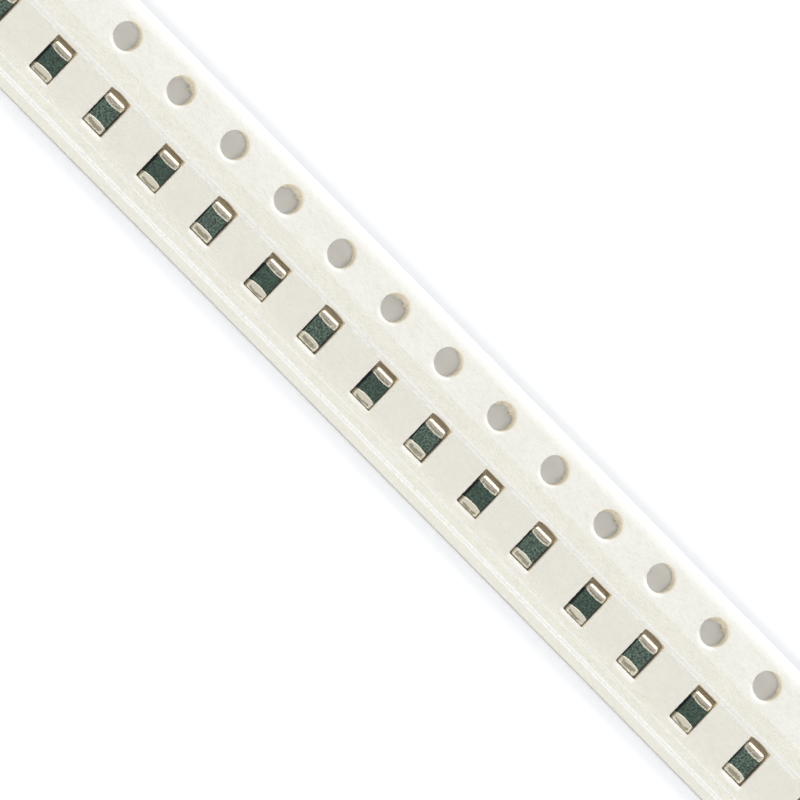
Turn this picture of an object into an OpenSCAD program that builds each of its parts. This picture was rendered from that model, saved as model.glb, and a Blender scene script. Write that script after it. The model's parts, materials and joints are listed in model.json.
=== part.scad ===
// Strip of punched card carrier tape for small surface-mount chips.
//
// A card tape has a row of sprocket holes and a row of punched pockets. A bottom cover
// tape closes the pockets from below, one chip lies loose in each pocket, and a clear
// top cover tape is heat-sealed over them. The strip is cut square through a sprocket
// hole at each end.
//
// Frame: +X along the strip, +Y towards the sprocket holes, +Z up. The origin is under
// the middle of the strip, on the surface it lies on. All sizes are in millimetres.

/* [Card tape] */
// Number of pockets in the strip, with one chip in each
pocket_count = 16; // [2:1:16]
// Distance from one pocket to the next, and from one sprocket hole to the next
pitch = 4; // [3.2:0.1:8]
// Width of the card tape
tape_w = 8.24; // [7.9:0.01:9.5]
// Edge radius along the card's long edges
slit_r = 0.06; // [0.02:0.01:0.15]
// Larger radius of the upper edge beside the sprocket holes, where the slitting knife pressed it
pressed_r = 0.25; // [0.1:0.01:0.4]

/* [Sprocket holes] */
// Diameter of a sprocket hole
sprocket_d = 1.55; // [1.3:0.01:1.6]
// Distance from the tape's edge to the sprocket holes' centre line
sprocket_edge = 1.75; // [1.2:0.01:1.9]

/* [Pockets] */
// Distance from the sprocket holes' centre line to the pockets' centre line
pocket_row = 3.55; // [3.4:0.01:3.7]
// Clearance between a chip and the pocket at each side
side_gap = 0.085; // [0.07:0.005:0.2]
// Clearance between a chip and the pocket at each end
end_gap = 0.135; // [0.08:0.005:0.2]
// Depth from the top of the card to the top of a chip
head_gap = 0.1; // [0.04:0.01:0.3]
// Corner radius of a pocket
pocket_r = 0.07; // [0.02:0.01:0.2]
// Bulge of the sprocket-side wall in every second pocket, left by the second punch
pocket_bow = 0.08; // [0.02:0.01:0.12]
// How far the pockets stray from their places along the tape, to one side and the other by turns
stray_along = 0.04; // [0:0.005:0.06]
// How far the pockets stray from their row across the tape, to one side and the other by turns
stray_across = 0.025; // [0:0.005:0.04]
// Space between a chip and the pocket's far end wall, in the pockets with a bow
lie_gap_bowed = 0.04; // [0.02:0.005:0.07]
// Space between a chip and the pocket's far end wall, in the other pockets
lie_gap_plain = 0.02; // [0.02:0.005:0.07]
// Space between a chip and the pocket's +X wall, in the pockets with a bow
side_lie_bowed = 0.095; // [0.02:0.005:0.1]
// Space between a chip and the pocket's +X wall, in the other pockets
side_lie_plain = 0.025; // [0.02:0.005:0.1]

/* [Chips] */
// Length of a chip over its terminals, across the tape
chip_l = 2.04; // [1.8:0.01:2.2]
// Width of a chip, along the tape
chip_w = 1.28; // [1:0.01:1.4]
// Height of a chip
chip_h = 0.85; // [0.5:0.01:1]
// Length of a terminal's band along the chip
band_l = 0.54; // [0.25:0.01:0.7]
// Thickness of the terminal metal over the ceramic's faces
plate_t = 0.02; // [0.01:0.005:0.05]
// Thickness of the terminal metal over the ceramic's end
plate_end_t = 0.06; // [0.02:0.01:0.1]
// Edge radius of the terminals
terminal_r = 0.11; // [0.08:0.01:0.16]
// How far the middle of a terminal's inner edge reaches past its corners
band_bulge = 0.08; // [0.02:0.01:0.1]

/* [Cover tapes] */
// Thickness of the bottom cover tape
bottom_t = 0.05; // [0.03:0.01:0.1]
// Thickness of the top cover tape
top_t = 0.05; // [0.03:0.01:0.1]
// Bare card between the sprocket holes and the cover tapes
cover_gap = 0.395; // [0.1:0.005:0.6]
// Bare card between the cover tapes and the edge of the card away from the holes
cover_margin = 0.4; // [0.2:0.01:0.6]
// Width of a heat-seal welt in the top cover tape
welt_w = 0.12; // [0.05:0.01:0.2]
// Height that a heat-seal welt stands up
welt_h = 0.02; // [0.01:0.005:0.04]
// Distance from the pockets to the welt on the sprocket-hole side
welt_near = 0.18; // [0.05:0.01:0.4]
// Distance from the cover tape's far edge to the outer of the two welts there
welt_rim = 0.15; // [0.04:0.01:0.3]
// Space between the two welts on the far side
welt_step = 0.42; // [0.3:0.01:0.6]

/* [Hidden] */
// Fineness of the round edges and holes
$fn = 48;
// Overshoot of a cut past the face it goes through
cut = 0.5;

tape_l = pocket_count * pitch;
card_t = chip_h + head_gap;
card_top = bottom_t + card_t;
tape_edge = tape_w / 2;
sprocket_y = tape_edge - sprocket_edge;
pocket_y = sprocket_y - pocket_row;
pocket_w = chip_w + 2 * side_gap;
pocket_l = chip_l + 2 * end_gap;
pocket_near = pocket_y + pocket_l / 2;
cover_y = cover_margin - tape_edge;
cover_w = sprocket_y - sprocket_d / 2 - cover_gap - cover_y;
ceramic_w = chip_w - 2 * plate_t;
ceramic_l = chip_l - 2 * plate_end_t;
ceramic_h = chip_h - 2 * plate_t;
ceramic_r = terminal_r - plate_t;

// Two-digit number of a pocket, as used in the node names
function digits(n) = n < 10 ? str("0", n) : str(n);

// Pitch line n along the strip, which pocket n belongs on
function line_x(n) = (n - (pocket_count + 1) / 2) * pitch;

// Every second pocket has the bowed wall
function bowed(n) = n % 2 == 1;

// Middle of pocket n, which strays a little from its pitch line and its row
function pocket_at(n) =
    let (side = bowed(n) ? -1 : 1)
    [line_x(n) + side * stray_along, pocket_y - side * stray_across];

// Middle of the chip in pocket n
function chip_at(n) =
    let (side_lie = bowed(n) ? side_lie_bowed : side_lie_plain)
    let (end_lie = bowed(n) ? lie_gap_bowed : lie_gap_plain)
    pocket_at(n) + [(pocket_w - chip_w) / 2 - side_lie, end_lie - (pocket_l - chip_l) / 2];

// Radius of an arc that rises by bulge over a chord
function arc_r(chord, bulge) = (pow(chord / 2, 2) + pow(bulge, 2)) / (2 * bulge);

// Rectangle about the origin with round corners
module round_rect(w, l, r) {
    square([w - 2 * r, l], center = true);
    square([w, l - 2 * r], center = true);
    for (x = [-1, 1], y = [-1, 1])
        translate([x * (w / 2 - r), y * (l / 2 - r)]) circle(r);
}

// Block standing on z = 0 whose twelve edges are round
module round_block(w, l, h, r) {
    intersection() {
        linear_extrude(h) round_rect(w, l, r);
        translate([0, l / 2, h / 2]) rotate([90, 0, 0]) linear_extrude(l) round_rect(w, h, r);
        translate([-w / 2, 0, h / 2]) rotate([90, 0, 90]) linear_extrude(w) round_rect(l, h, r);
    }
}

// Outline of a punched pocket, with the sprocket-side wall bowed out or straight
module pocket_outline(has_bow) {
    chord = pocket_w - 2 * pocket_r;
    bow_r = arc_r(chord, pocket_bow);
    round_rect(pocket_w, pocket_l, pocket_r);
    if (has_bow)
        intersection() {
            translate([0, pocket_l / 2 + pocket_bow - bow_r]) circle(bow_r, $fn = 4 * $fn);
            translate([-chord / 2, 0]) square([chord, pocket_l / 2 + pocket_bow]);
        }
}

// Cross-section of the card, looking along the strip
module card_section() {
    difference() {
        translate([0, card_t / 2]) round_rect(tape_w, card_t, slit_r);
        translate([tape_edge - pressed_r, card_t - pressed_r])
            difference() {
                square(pressed_r + cut);
                circle(pressed_r);
            }
    }
}

// Punched card tape
module carrier_tape() {
    color("ivory")
        difference() {
            translate([-tape_l / 2, 0, bottom_t])
                rotate([90, 0, 90]) linear_extrude(tape_l) card_section();
            for (n = [0:pocket_count])
                translate([line_x(n) + pitch / 2, sprocket_y, bottom_t - cut])
                    cylinder(d = sprocket_d, h = card_t + 2 * cut);
            for (n = [1:pocket_count])
                translate([pocket_at(n).x, pocket_at(n).y, bottom_t - cut])
                    linear_extrude(card_t + 2 * cut) pocket_outline(bowed(n));
        }
}

// Cover tape under the pockets, which the chips lie on
module bottom_cover_tape() {
    color("whitesmoke")
        translate([-tape_l / 2, cover_y, 0]) cube([tape_l, cover_w, bottom_t]);
}

// One heat-seal welt of the top cover tape, with its lower edge at y
module welt(y) {
    translate([-tape_l / 2, y, card_top]) cube([tape_l, welt_w, top_t + welt_h]);
}

// Clear cover tape over the pockets, with the welts that the sealing iron left
module top_cover_tape() {
    color([0.96, 0.96, 0.93, 0.4]) {
        translate([-tape_l / 2, cover_y, card_top]) cube([tape_l, cover_w, top_t]);
        welt(pocket_near + welt_near);
        welt(cover_y + welt_rim + welt_w + welt_step);
        welt(cover_y + welt_rim);
    }
}

// Puts a chip's piece, made about its own middle, into pocket n on the bottom cover tape
module in_pocket(n) {
    translate([chip_at(n).x, chip_at(n).y, bottom_t]) children();
}

// Space that a chip's ceramic takes
module ceramic_form() {
    translate([0, 0, plate_t]) round_block(ceramic_w, ceramic_l, ceramic_h, ceramic_r);
}

// Ceramic body of the chip in pocket n
module chip_ceramic(n) {
    color("darkslategray") in_pocket(n) ceramic_form();
}

// Plan of the terminal at a chip's +Y end, whose inner edge bulges towards the middle
module band_outline() {
    inner_y = chip_l / 2 - band_l;
    edge_r = arc_r(chip_w, band_bulge);
    translate([-chip_w / 2, inner_y + band_bulge]) square([chip_w, band_l - band_bulge]);
    intersection() {
        translate([0, inner_y + edge_r]) circle(edge_r, $fn = 4 * $fn);
        translate([-chip_w / 2, inner_y]) square([chip_w, band_l / 2]);
    }
}

// Metal cap over one end of the chip in pocket n; side is 1 near the holes and -1 away
module chip_terminal(n, side) {
    color("silver")
        in_pocket(n) mirror([0, side < 0 ? 1 : 0, 0])
            difference() {
                intersection() {
                    round_block(chip_w, chip_l, chip_h, terminal_r);
                    linear_extrude(chip_h) band_outline();
                }
                ceramic_form();
            }
}

carrier_tape();
bottom_cover_tape();
top_cover_tape();
for (n = [1:pocket_count]) {
    chip_ceramic(n);
    chip_terminal(n, 1);
    chip_terminal(n, -1);
}
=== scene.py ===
"""Looks of a strip of punched card carrier tape with small chips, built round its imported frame.

The strip runs along X, its sprocket holes lie towards +Y and its pockets open towards +Z.
Lengths in the dataclasses are in metres, and the finishes work in millimetres.
"""

from __future__ import annotations

import json
import logging
import math
from dataclasses import dataclass, field
from enum import Enum
from typing import Callable, Iterable, Mapping, Sequence, Union

import bmesh
import bpy
from bmesh.types import BMEdge, BMesh, BMFace, BMVert
from mathutils import Matrix, Vector, noise

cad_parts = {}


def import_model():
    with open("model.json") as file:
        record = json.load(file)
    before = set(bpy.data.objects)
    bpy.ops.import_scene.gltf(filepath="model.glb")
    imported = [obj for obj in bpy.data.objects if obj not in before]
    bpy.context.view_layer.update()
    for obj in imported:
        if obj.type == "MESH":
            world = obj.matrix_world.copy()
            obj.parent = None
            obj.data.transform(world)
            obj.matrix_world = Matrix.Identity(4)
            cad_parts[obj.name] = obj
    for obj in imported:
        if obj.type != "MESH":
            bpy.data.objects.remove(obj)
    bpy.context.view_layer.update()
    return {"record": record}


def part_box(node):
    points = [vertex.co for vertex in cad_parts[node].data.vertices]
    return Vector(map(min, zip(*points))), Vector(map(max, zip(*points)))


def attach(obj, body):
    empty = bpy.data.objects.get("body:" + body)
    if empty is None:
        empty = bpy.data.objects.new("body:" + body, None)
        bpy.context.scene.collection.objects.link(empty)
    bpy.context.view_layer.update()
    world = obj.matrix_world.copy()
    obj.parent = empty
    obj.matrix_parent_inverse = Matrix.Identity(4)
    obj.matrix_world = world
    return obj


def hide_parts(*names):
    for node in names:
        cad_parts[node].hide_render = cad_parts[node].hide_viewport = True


LOG = logging.getLogger("carrier_tape_strip")

MM = 0.001
BODY = "root"
# Vertex layer of how dark a cap is painted: its groove, and painted shade and reflection on its
# sides and -Y rim.
GROOVE_AND_SHADE_LAYER = "groove"
ON_FACE = 0.499  # a point of a unit cube that lies farther out than this is on a face
CROWDING = 0.22  # how much closer together a cut cube's rows stand at its faces

Colour = tuple[float, float, float]


# ---- Shader maths ----


def operator(operation: str, flipped: bool = False) -> Callable[[Value, Number], Value]:
    """Makes one of Value's operators.

    Args:
        operation: The Math node's operation.
        flipped: Whether the other term comes first.

    Returns:
        The method, which adds the node and gives its result.
    """

    def method(self: Value, other: Number) -> Value:
        """Joins this value and another one."""
        terms = (other, self) if flipped else (self, other)
        return self.shader.math(operation, *terms)

    return method


class Value:
    """A number that varies over a surface; Python's operators add the Math nodes."""

    __add__ = __radd__ = operator("ADD")
    __sub__ = operator("SUBTRACT")
    __rsub__ = operator("SUBTRACT", flipped=True)
    __mul__ = __rmul__ = operator("MULTIPLY")
    __truediv__ = operator("DIVIDE")
    __pow__ = operator("POWER")
    least = operator("MINIMUM")
    most = operator("MAXIMUM")

    def __init__(self, shader: Shader, socket: bpy.types.NodeSocket) -> None:
        """Wraps one output socket of a shader's node."""
        self.shader = shader
        self.socket = socket

    def __abs__(self) -> Value:
        """Size without its sign."""
        return self.shader.math("ABSOLUTE", self)

    def wrap(self, low: float, high: float) -> Value:
        """The value folded back into the range from low to high."""
        return self.shader.math("WRAP", self, high, low)

    def rise(self, start: float, end: float) -> Value:
        """A smooth step from 0 at start to 1 at end, which may lie below start.

        Args:
            start: The value where the step begins.
            end: The value where the step is over.

        Returns:
            The step, from 0 to 1.
        """
        low, high = min(start, end), max(start, end)
        node = self.shader.node(
            "ShaderNodeMapRange",
            {"interpolation_type": "SMOOTHSTEP"},
            {"Value": self, "From Min": low, "From Max": high},
        )
        step = Value(self.shader, node.outputs["Result"])
        return step if end > start else 1 - step


Number = Union[Value, float, int]
Feed = Union[Value, bpy.types.NodeSocket, float, int, Sequence[float]]


class Shader:
    """One material's node tree."""

    def __init__(self, name: str) -> None:
        """Starts an empty material.

        Args:
            name: The material's name.
        """
        self.material = bpy.data.materials.new(name)
        self.material.use_nodes = True
        self.tree = self.material.node_tree
        self.tree.nodes.clear()

    def node(
        self,
        kind: str,
        settings: Mapping[str, object] | None = None,
        inputs: Mapping[Union[str, int], Feed] | None = None,
    ) -> bpy.types.Node:
        """Adds a node, sets its options, then fills its sockets.

        Args:
            kind: The node's type.
            settings: Option names and values, such as a Math node's operation.
            inputs: Socket names or numbers, each with a value or a link.

        Returns:
            The new node.
        """
        made = self.tree.nodes.new(kind)
        for option, choice in (settings or {}).items():
            setattr(made, option, choice)
        for socket, feed in (inputs or {}).items():
            if isinstance(feed, Value):
                self.tree.links.new(feed.socket, made.inputs[socket])
            elif isinstance(feed, bpy.types.NodeSocket):
                self.tree.links.new(feed, made.inputs[socket])
            else:
                made.inputs[socket].default_value = feed
        return made

    def math(self, operation: str, *terms: Number) -> Value:
        """Adds a Math node for an operation and its terms, and gives the result."""
        inputs = dict(enumerate(terms))
        return Value(self, self.node("ShaderNodeMath", {"operation": operation}, inputs).outputs[0])

    def place(self) -> bpy.types.NodeSocket:
        """The point's place on the strip, in millimetres."""
        source = self.node("ShaderNodeTexCoord").outputs["Object"]
        scaled = self.node(
            "ShaderNodeVectorMath", {"operation": "SCALE"}, {0: source, "Scale": 1 / MM}
        )
        return scaled.outputs[0]

    def split(self, vector: bpy.types.NodeSocket) -> tuple[Value, Value, Value]:
        """The three numbers of a vector."""
        parts = self.node("ShaderNodeSeparateXYZ", inputs={0: vector}).outputs
        return Value(self, parts[0]), Value(self, parts[1]), Value(self, parts[2])

    def grain(
        self,
        place: bpy.types.NodeSocket,
        per_mm: Sequence[float],
        turn: float = 0.0,
        detail: float = 3.0,
        twist: float = 0.0,
    ) -> Value:
        """Noise with its own fineness along each axis.

        Args:
            place: The point's place in millimetres.
            per_mm: Waves in each millimetre along X, Y and Z.
            turn: Angle that the pattern is turned about Z, in degrees.
            detail: How many finer layers lie over the noise.
            twist: How much the noise distorts itself.

        Returns:
            The noise, from 0 to 1 and about 0.5 on average.
        """
        turned = self.node(
            "ShaderNodeMapping",
            inputs={
                "Vector": place,
                "Rotation": (0.0, 0.0, math.radians(turn)),
            },
        )
        stretched = self.node(
            "ShaderNodeVectorMath",
            {"operation": "MULTIPLY"},
            {0: turned.outputs[0], 1: tuple(per_mm)},
        )
        made = self.node(
            "ShaderNodeTexNoise",
            inputs={
                "Vector": stretched.outputs[0],
                "Scale": 1.0,
                "Detail": detail,
                "Distortion": twist,
            },
        )
        return Value(self, made.outputs[0])

    def tint(self, share: Value, plain: Feed, tinted: Feed) -> bpy.types.NodeSocket:
        """A colour that goes from plain to tinted with share.

        Args:
            share: 0 where the colour is plain and 1 where it is tinted.
            plain: The first colour, or a link to one.
            tinted: The second colour, or a link to one.

        Returns:
            The mixed colour's socket.
        """
        colours = [(*c, 1.0) if isinstance(c, tuple) else c for c in (plain, tinted)]
        mixed = self.node(
            "ShaderNodeMix",
            {"data_type": "RGBA", "clamp_factor": True},
            {0: share, 6: colours[0], 7: colours[1]},
        )
        return mixed.outputs[2]

    def relief(self, height: Value, depth: float) -> bpy.types.NodeSocket:
        """A surface normal raised by a pattern from 0 to 1, by up to depth in metres."""
        inputs = {"Height": height, "Distance": depth, "Strength": 1.0}
        return self.node("ShaderNodeBump", inputs=inputs).outputs[0]

    def principled(self, **inputs: Feed) -> bpy.types.NodeSocket:
        """The Principled shader, with underscores for the spaces in socket names."""
        named = {name.replace("_", " "): feed for name, feed in inputs.items()}
        return self.node("ShaderNodeBsdfPrincipled", inputs=named).outputs[0]

    def show(self, surface: bpy.types.NodeSocket) -> bpy.types.Material:
        """Sends a shader to the output and gives the finished material."""
        self.node("ShaderNodeOutputMaterial", inputs={"Surface": surface})
        return self.material

    def coat(self, **inputs: Feed) -> bpy.types.Material:
        """Makes the material of one Principled shader."""
        return self.show(self.principled(**inputs))


# ---- Layout, read from the frame ----


@dataclass(frozen=True)
class Layout:
    """Places that the pieces and the finishes share, in metres.

    pocket_row is how far the pockets' row lies from the holes' row, and stray_along and
    stray_across how far the straight pockets lie off their places.
    """

    pockets: int
    pitch: float
    hole_y: float
    hole_r: float
    card_low: Vector
    card_high: Vector
    cover_low: Vector
    cover_high: Vector
    pocket_row: float = 3.55 * MM
    pocket_w: float = 1.45 * MM
    pocket_l: float = 2.31 * MM
    pocket_corner: float = 0.07 * MM
    pocket_bow: float = 0.08 * MM
    stray_along: float = 0.04 * MM
    stray_across: float = -0.025 * MM

    @classmethod
    def from_frame(cls, record: Mapping[str, object]) -> Layout:
        """Reads the strip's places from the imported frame.

        Args:
            record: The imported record.

        Returns:
            The layout.
        """
        holes = [m for m in record["mounts"] if m["kind"] == "bore"]
        chips = [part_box(f"chip_{n:02d}_ceramic") for n in (1, 3)]
        card_low, card_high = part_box("carrier_tape")
        cover_low, cover_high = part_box("top_cover_tape")
        return cls(
            pockets=len(holes) + 1,
            pitch=(chips[1][0].x - chips[0][0].x) / 2,
            hole_y=holes[0]["pos_m"][1],
            hole_r=holes[0]["dims"]["r_mm"] * MM,
            card_low=card_low,
            card_high=card_high,
            cover_low=cover_low,
            cover_high=cover_high,
        )

    def line_x(self, number: int) -> float:
        """Pitch line of a pocket along the strip; pockets are numbered from 1."""
        return (number - (self.pockets + 1) / 2) * self.pitch

    def pocket_at(self, number: int) -> Vector:
        """Middle of a pocket, which strays from its pitch line one way and the other by turns."""
        side = -1.0 if self.bowed(number) else 1.0
        stray = side * Vector((self.stray_along, self.stray_across, 0.0))
        return Vector((self.line_x(number), self.pocket_y, 0.0)) + stray

    def bowed(self, number: int) -> bool:
        """Whether the second punch made this pocket, with a bowed wall."""
        return number % 2 == 1

    @property
    def pocket_y(self) -> float:
        """Middle of the row of pockets."""
        return self.hole_y - self.pocket_row

    @property
    def pocket_near(self) -> float:
        """Edge of the pockets that faces the sprocket holes."""
        return self.pocket_y + self.pocket_l / 2

    @property
    def pocket_far(self) -> float:
        """Edge of the pockets that faces away from the sprocket holes."""
        return self.pocket_y - self.pocket_l / 2


# ---- Finishes ----


@dataclass(frozen=True)
class CardFace:
    """White card with long fibres, creamier under the cover tape, with painted highlights beside
    the punches and along its +Y edge, and painted shade at the near right of each hole.
    """

    layout: Layout
    bare: Colour = (0.655, 0.650, 0.606)
    near_film: Colour = (0.644, 0.631, 0.560)
    covered: Colour = (0.604, 0.592, 0.535)
    edge_highlight: Colour = (0.810, 0.810, 0.795)
    # Painted highlight and painted shade round the punched openings.
    far_rim_highlight: Colour = (0.780, 0.775, 0.745)
    hole_rim_shade: Colour = (0.600, 0.555, 0.455)
    highlight_width: float = 1.00 * MM
    fibre_depth: float = 0.034 * MM

    def rim_light_marks(self, x: Value, y: Value) -> tuple[Value, Value]:
        """Where light and shade are painted round the punched openings.

        Args:
            x: Place along the strip in millimetres.
            y: Place across the strip in millimetres.

        Returns:
            1 where a highlight is painted, on the rims that face the hole-side lamp at the far side
            of each hole and pocket, and 0 elsewhere; then the same for the painted shade at the
            near right of each hole, beside the shaded hole wall.
        """
        half = self.layout.pitch / MM / 2
        hole_r = self.layout.hole_r / MM
        along = x.wrap(-half, half)
        across = y - self.layout.hole_y / MM
        reach = (along * along + across * across) ** 0.5
        # Painted highlight on the far side of each hole and below each pocket, where the rims face
        # the hole-side lamp.
        ring = reach.rise(hole_r + 0.30, hole_r + 0.05) * (across / reach).rise(-0.50, -0.92)
        pocket_x = abs((x + half).wrap(-half, half))
        below = self.layout.pocket_far / MM - y
        band = below.rise(0.34, 0.06) * pocket_x.rise(0.85, 0.6) * below.rise(-0.05, 0.0)
        # Painted shade on the rim at each hole's near right, beside the shaded hole wall.
        facing = (0.8 * across + 0.6 * along) / reach
        hole_rim_shade = reach.rise(hole_r + 0.17, hole_r + 0.01) * facing.rise(0.0, 0.7)
        return ring.most(0.75 * band), hole_rim_shade

    def material(self) -> bpy.types.Material:
        """Makes the card's face material.

        Returns:
            The material.
        """
        shader = Shader("card_face")
        place = shader.place()
        x, y, _ = shader.split(place)
        spot = self.layout
        long_fibres = shader.grain(place, (2.4, 10.0, 4.0), turn=14.0, detail=2.0, twist=1.2)
        cross_fibres = shader.grain(place, (3.0, 11.0, 4.0), turn=-26.0, detail=2.0, twist=1.0)
        tooth = shader.grain(place, (18.0, 18.0, 18.0), detail=1.0)
        cloud = shader.grain(place, (0.5, 0.9, 1.0), detail=2.0)
        fibres = 0.42 * long_fibres + 0.33 * cross_fibres + 0.25 * tooth
        low, high = spot.cover_low.y / MM, spot.cover_high.y / MM
        under = y.rise(high + 0.06, high - 0.12)
        margin = y.rise(low + 0.04, low - 0.06)
        close = y.rise(0.42, 0.10) * y.rise(-3.0, -1.9)
        base = shader.tint(under, self.bare, self.near_film)
        base = shader.tint(close.most(0.85 * margin), base, self.covered)
        darker = tuple(c * k for c, k in zip(self.covered, (0.90, 0.885, 0.86)))
        shade = fibres.rise(0.55, 0.38) * 0.52 + cloud.rise(0.6, 0.4) * 0.12
        base = shader.tint(shade, base, darker)
        patchy = (cloud + 0.4 * long_fibres).rise(0.40, 0.78)
        # Painted highlight and painted shade round the openings.
        rim_highlight, hole_rim_shade = self.rim_light_marks(x, y)
        base = shader.tint(rim_highlight * (0.55 + 0.45 * patchy), base, self.far_rim_highlight)
        base = shader.tint(hole_rim_shade * (0.35 + 0.5 * patchy), base, self.hole_rim_shade)
        # Painted highlight: the last millimetre towards the +Y edge, which faces the hole-side
        # lamp, is tinted much whiter.
        rim = spot.card_high.y / MM
        edge_highlight_share = y.rise(rim - self.highlight_width / MM, rim)
        base = shader.tint(edge_highlight_share, base, self.edge_highlight)
        return shader.coat(
            Base_Color=base,
            Roughness=0.9,
            Specular_IOR_Level=0.15,
            Normal=shader.relief(fibres, self.fibre_depth),
        )


@dataclass(frozen=True)
class CutCard:
    """Cut or punched card, whose torn layers run round the wall."""

    name: str
    fresh: Colour
    torn: Colour
    layer_depth: float = 0.012 * MM

    def material(self) -> bpy.types.Material:
        """Makes the cut card's material.

        Returns:
            The material.
        """
        shader = Shader(self.name)
        place = shader.place()
        layers = shader.grain(place, (2.5, 2.5, 14.0), detail=4.0, twist=0.8)
        tufts = shader.grain(place, (16.0, 16.0, 16.0), detail=3.0)
        base = shader.tint(layers.rise(0.38, 0.62), self.torn, self.fresh)
        return shader.coat(
            Base_Color=base,
            Roughness=0.95,
            Specular_IOR_Level=0.1,
            Normal=shader.relief(0.7 * layers + 0.3 * tufts, self.layer_depth),
        )


@dataclass(frozen=True)
class SealLine:
    """A crease that the sealing iron left along the cover tape.

    whiteness is how white it is, broken how much of it is missing, and apart how far it keeps
    to the card between the pockets.
    """

    y: float
    width: float
    height: float
    whiteness: float
    broken: float
    seed: float
    apart: float = 0.0


@dataclass(frozen=True)
class ClearFilm:
    """Clear cover tape, whitened along the creases that the sealing iron left, with a faint sheen
    painted in long streaks beside the pockets.
    """

    layout: Layout
    lines: tuple[SealLine, ...]
    white: Colour = (0.830, 0.830, 0.800)
    clear: Colour = (0.900, 0.900, 0.890)
    haze: float = 0.008
    upper_share: float = 0.012

    def whitening(self, shader: Shader, place: bpy.types.NodeSocket) -> Value:
        """How white the tape is along its creases, and where a faint streaky sheen is painted
        beside the pockets.

        Args:
            shader: The material's shader.
            place: The point's place in millimetres.

        Returns:
            0 on clear tape and 1 on a white crease.
        """
        x, y, _ = shader.split(place)
        wander = shader.grain(place, (1.3, 0.2, 0.2), detail=2.0) - 0.5
        fray = shader.grain(place, (5.0, 9.0, 1.0), detail=3.0)
        streaks = shader.grain(place, (0.35, 5.0, 1.0), detail=3.0, twist=0.3)
        near, far = self.layout.pocket_near / MM, self.layout.pocket_far / MM
        sealed = y.rise(near, near + 0.14).most(y.rise(far - 0.14, far - 0.30))
        # Painted sheen: faint long streaks of whiteness stand in for the light on the tape's soft
        # ripples.
        white = streaks.rise(0.48, 0.70) * 0.24 * sealed
        half = self.layout.pitch / MM / 2
        over_pocket = abs((x + half).wrap(-half, half)).rise(0.84, 0.66)
        for line in self.lines:
            middle, width = line.y / MM, line.width / MM
            reach = abs(y + wander * 0.06 - middle)
            stroke = reach.rise(width * 0.85, width * 0.15)
            run = shader.grain(place, (1.1, 0.01, 1.0 + line.seed), detail=2.0)
            gaps = run.rise(0.22 + 0.27 * line.broken, 0.36 + 0.27 * line.broken)
            part = stroke * gaps * (0.52 + 0.85 * fray) * line.whiteness
            if line.apart:
                part = part * (1.0 - line.apart * over_pocket)
            white = white.most(part)
        return white.least(1.0)

    def material(self) -> bpy.types.Material:
        """Makes the material of the face that is stuck to the card.

        Returns:
            The material.
        """
        shader = Shader("cover_film")
        white = self.whitening(shader, shader.place())
        graze = Value(shader, shader.node("ShaderNodeLayerWeight").outputs["Facing"])
        gloss = graze**5
        film = shader.principled(
            Base_Color=shader.tint(white, self.clear, self.white),
            Metallic=white.rise(0.06, 0.0),
            Roughness=0.24,
            Specular_IOR_Level=0.2,
        )
        glass = shader.node("ShaderNodeBsdfTransparent").outputs[0]
        share = (white * 0.92 + self.haze + gloss).least(0.97)
        mixed = shader.node("ShaderNodeMixShader", inputs={0: share, 1: glass, 2: film})
        return shader.show(mixed.outputs[0])

    def upper_material(self) -> bpy.types.Material:
        """Makes the material of the film's upper face and edges.

        Returns:
            The material.
        """
        shader = Shader("cover_film_top")
        clear = (*self.clear, 1.0)
        return shader.coat(Base_Color=clear, Roughness=0.3, IOR=1.5, Alpha=self.upper_share)


@dataclass(frozen=True)
class BackingFilm:
    """Milky tape under the pockets."""

    milky: Colour = (0.95, 0.92, 0.83)
    thin: Colour = (0.88, 0.85, 0.76)
    streak_depth: float = 0.004 * MM

    def material(self) -> bpy.types.Material:
        """Makes the bottom cover tape's material.

        Returns:
            The material.
        """
        shader = Shader("backing_film")
        place = shader.place()
        streaks = shader.grain(place, (0.8, 6.0, 1.0), detail=3.0)
        return shader.coat(
            Base_Color=shader.tint(streaks, self.thin, self.milky),
            Roughness=0.42,
            Alpha=0.97,
            Normal=shader.relief(streaks, self.streak_depth),
        )


@dataclass(frozen=True)
class GreenCeramic:
    """Dark green fired ceramic with a sandy surface."""

    name: str
    pale: Colour
    deep: Colour = (0.004, 0.013, 0.008)
    shine: float = 0.25
    grain_depth: float = 0.014 * MM

    def material(self) -> bpy.types.Material:
        """Makes the ceramic's material.

        Returns:
            The material.
        """
        shader = Shader(self.name)
        place = shader.place()
        sand = shader.grain(place, (9.0, 9.0, 9.0), detail=3.0, twist=0.5)
        specks = shader.grain(place, (16.0, 16.0, 16.0), detail=2.0)
        share = (0.6 * sand + 0.4 * specks).rise(0.41, 0.61)
        return shader.coat(
            Base_Color=shader.tint(share, self.deep, self.pale),
            Roughness=0.55,
            Specular_IOR_Level=self.shine,
            Normal=shader.relief(0.7 * sand + 0.3 * specks, self.grain_depth),
        )


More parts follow.
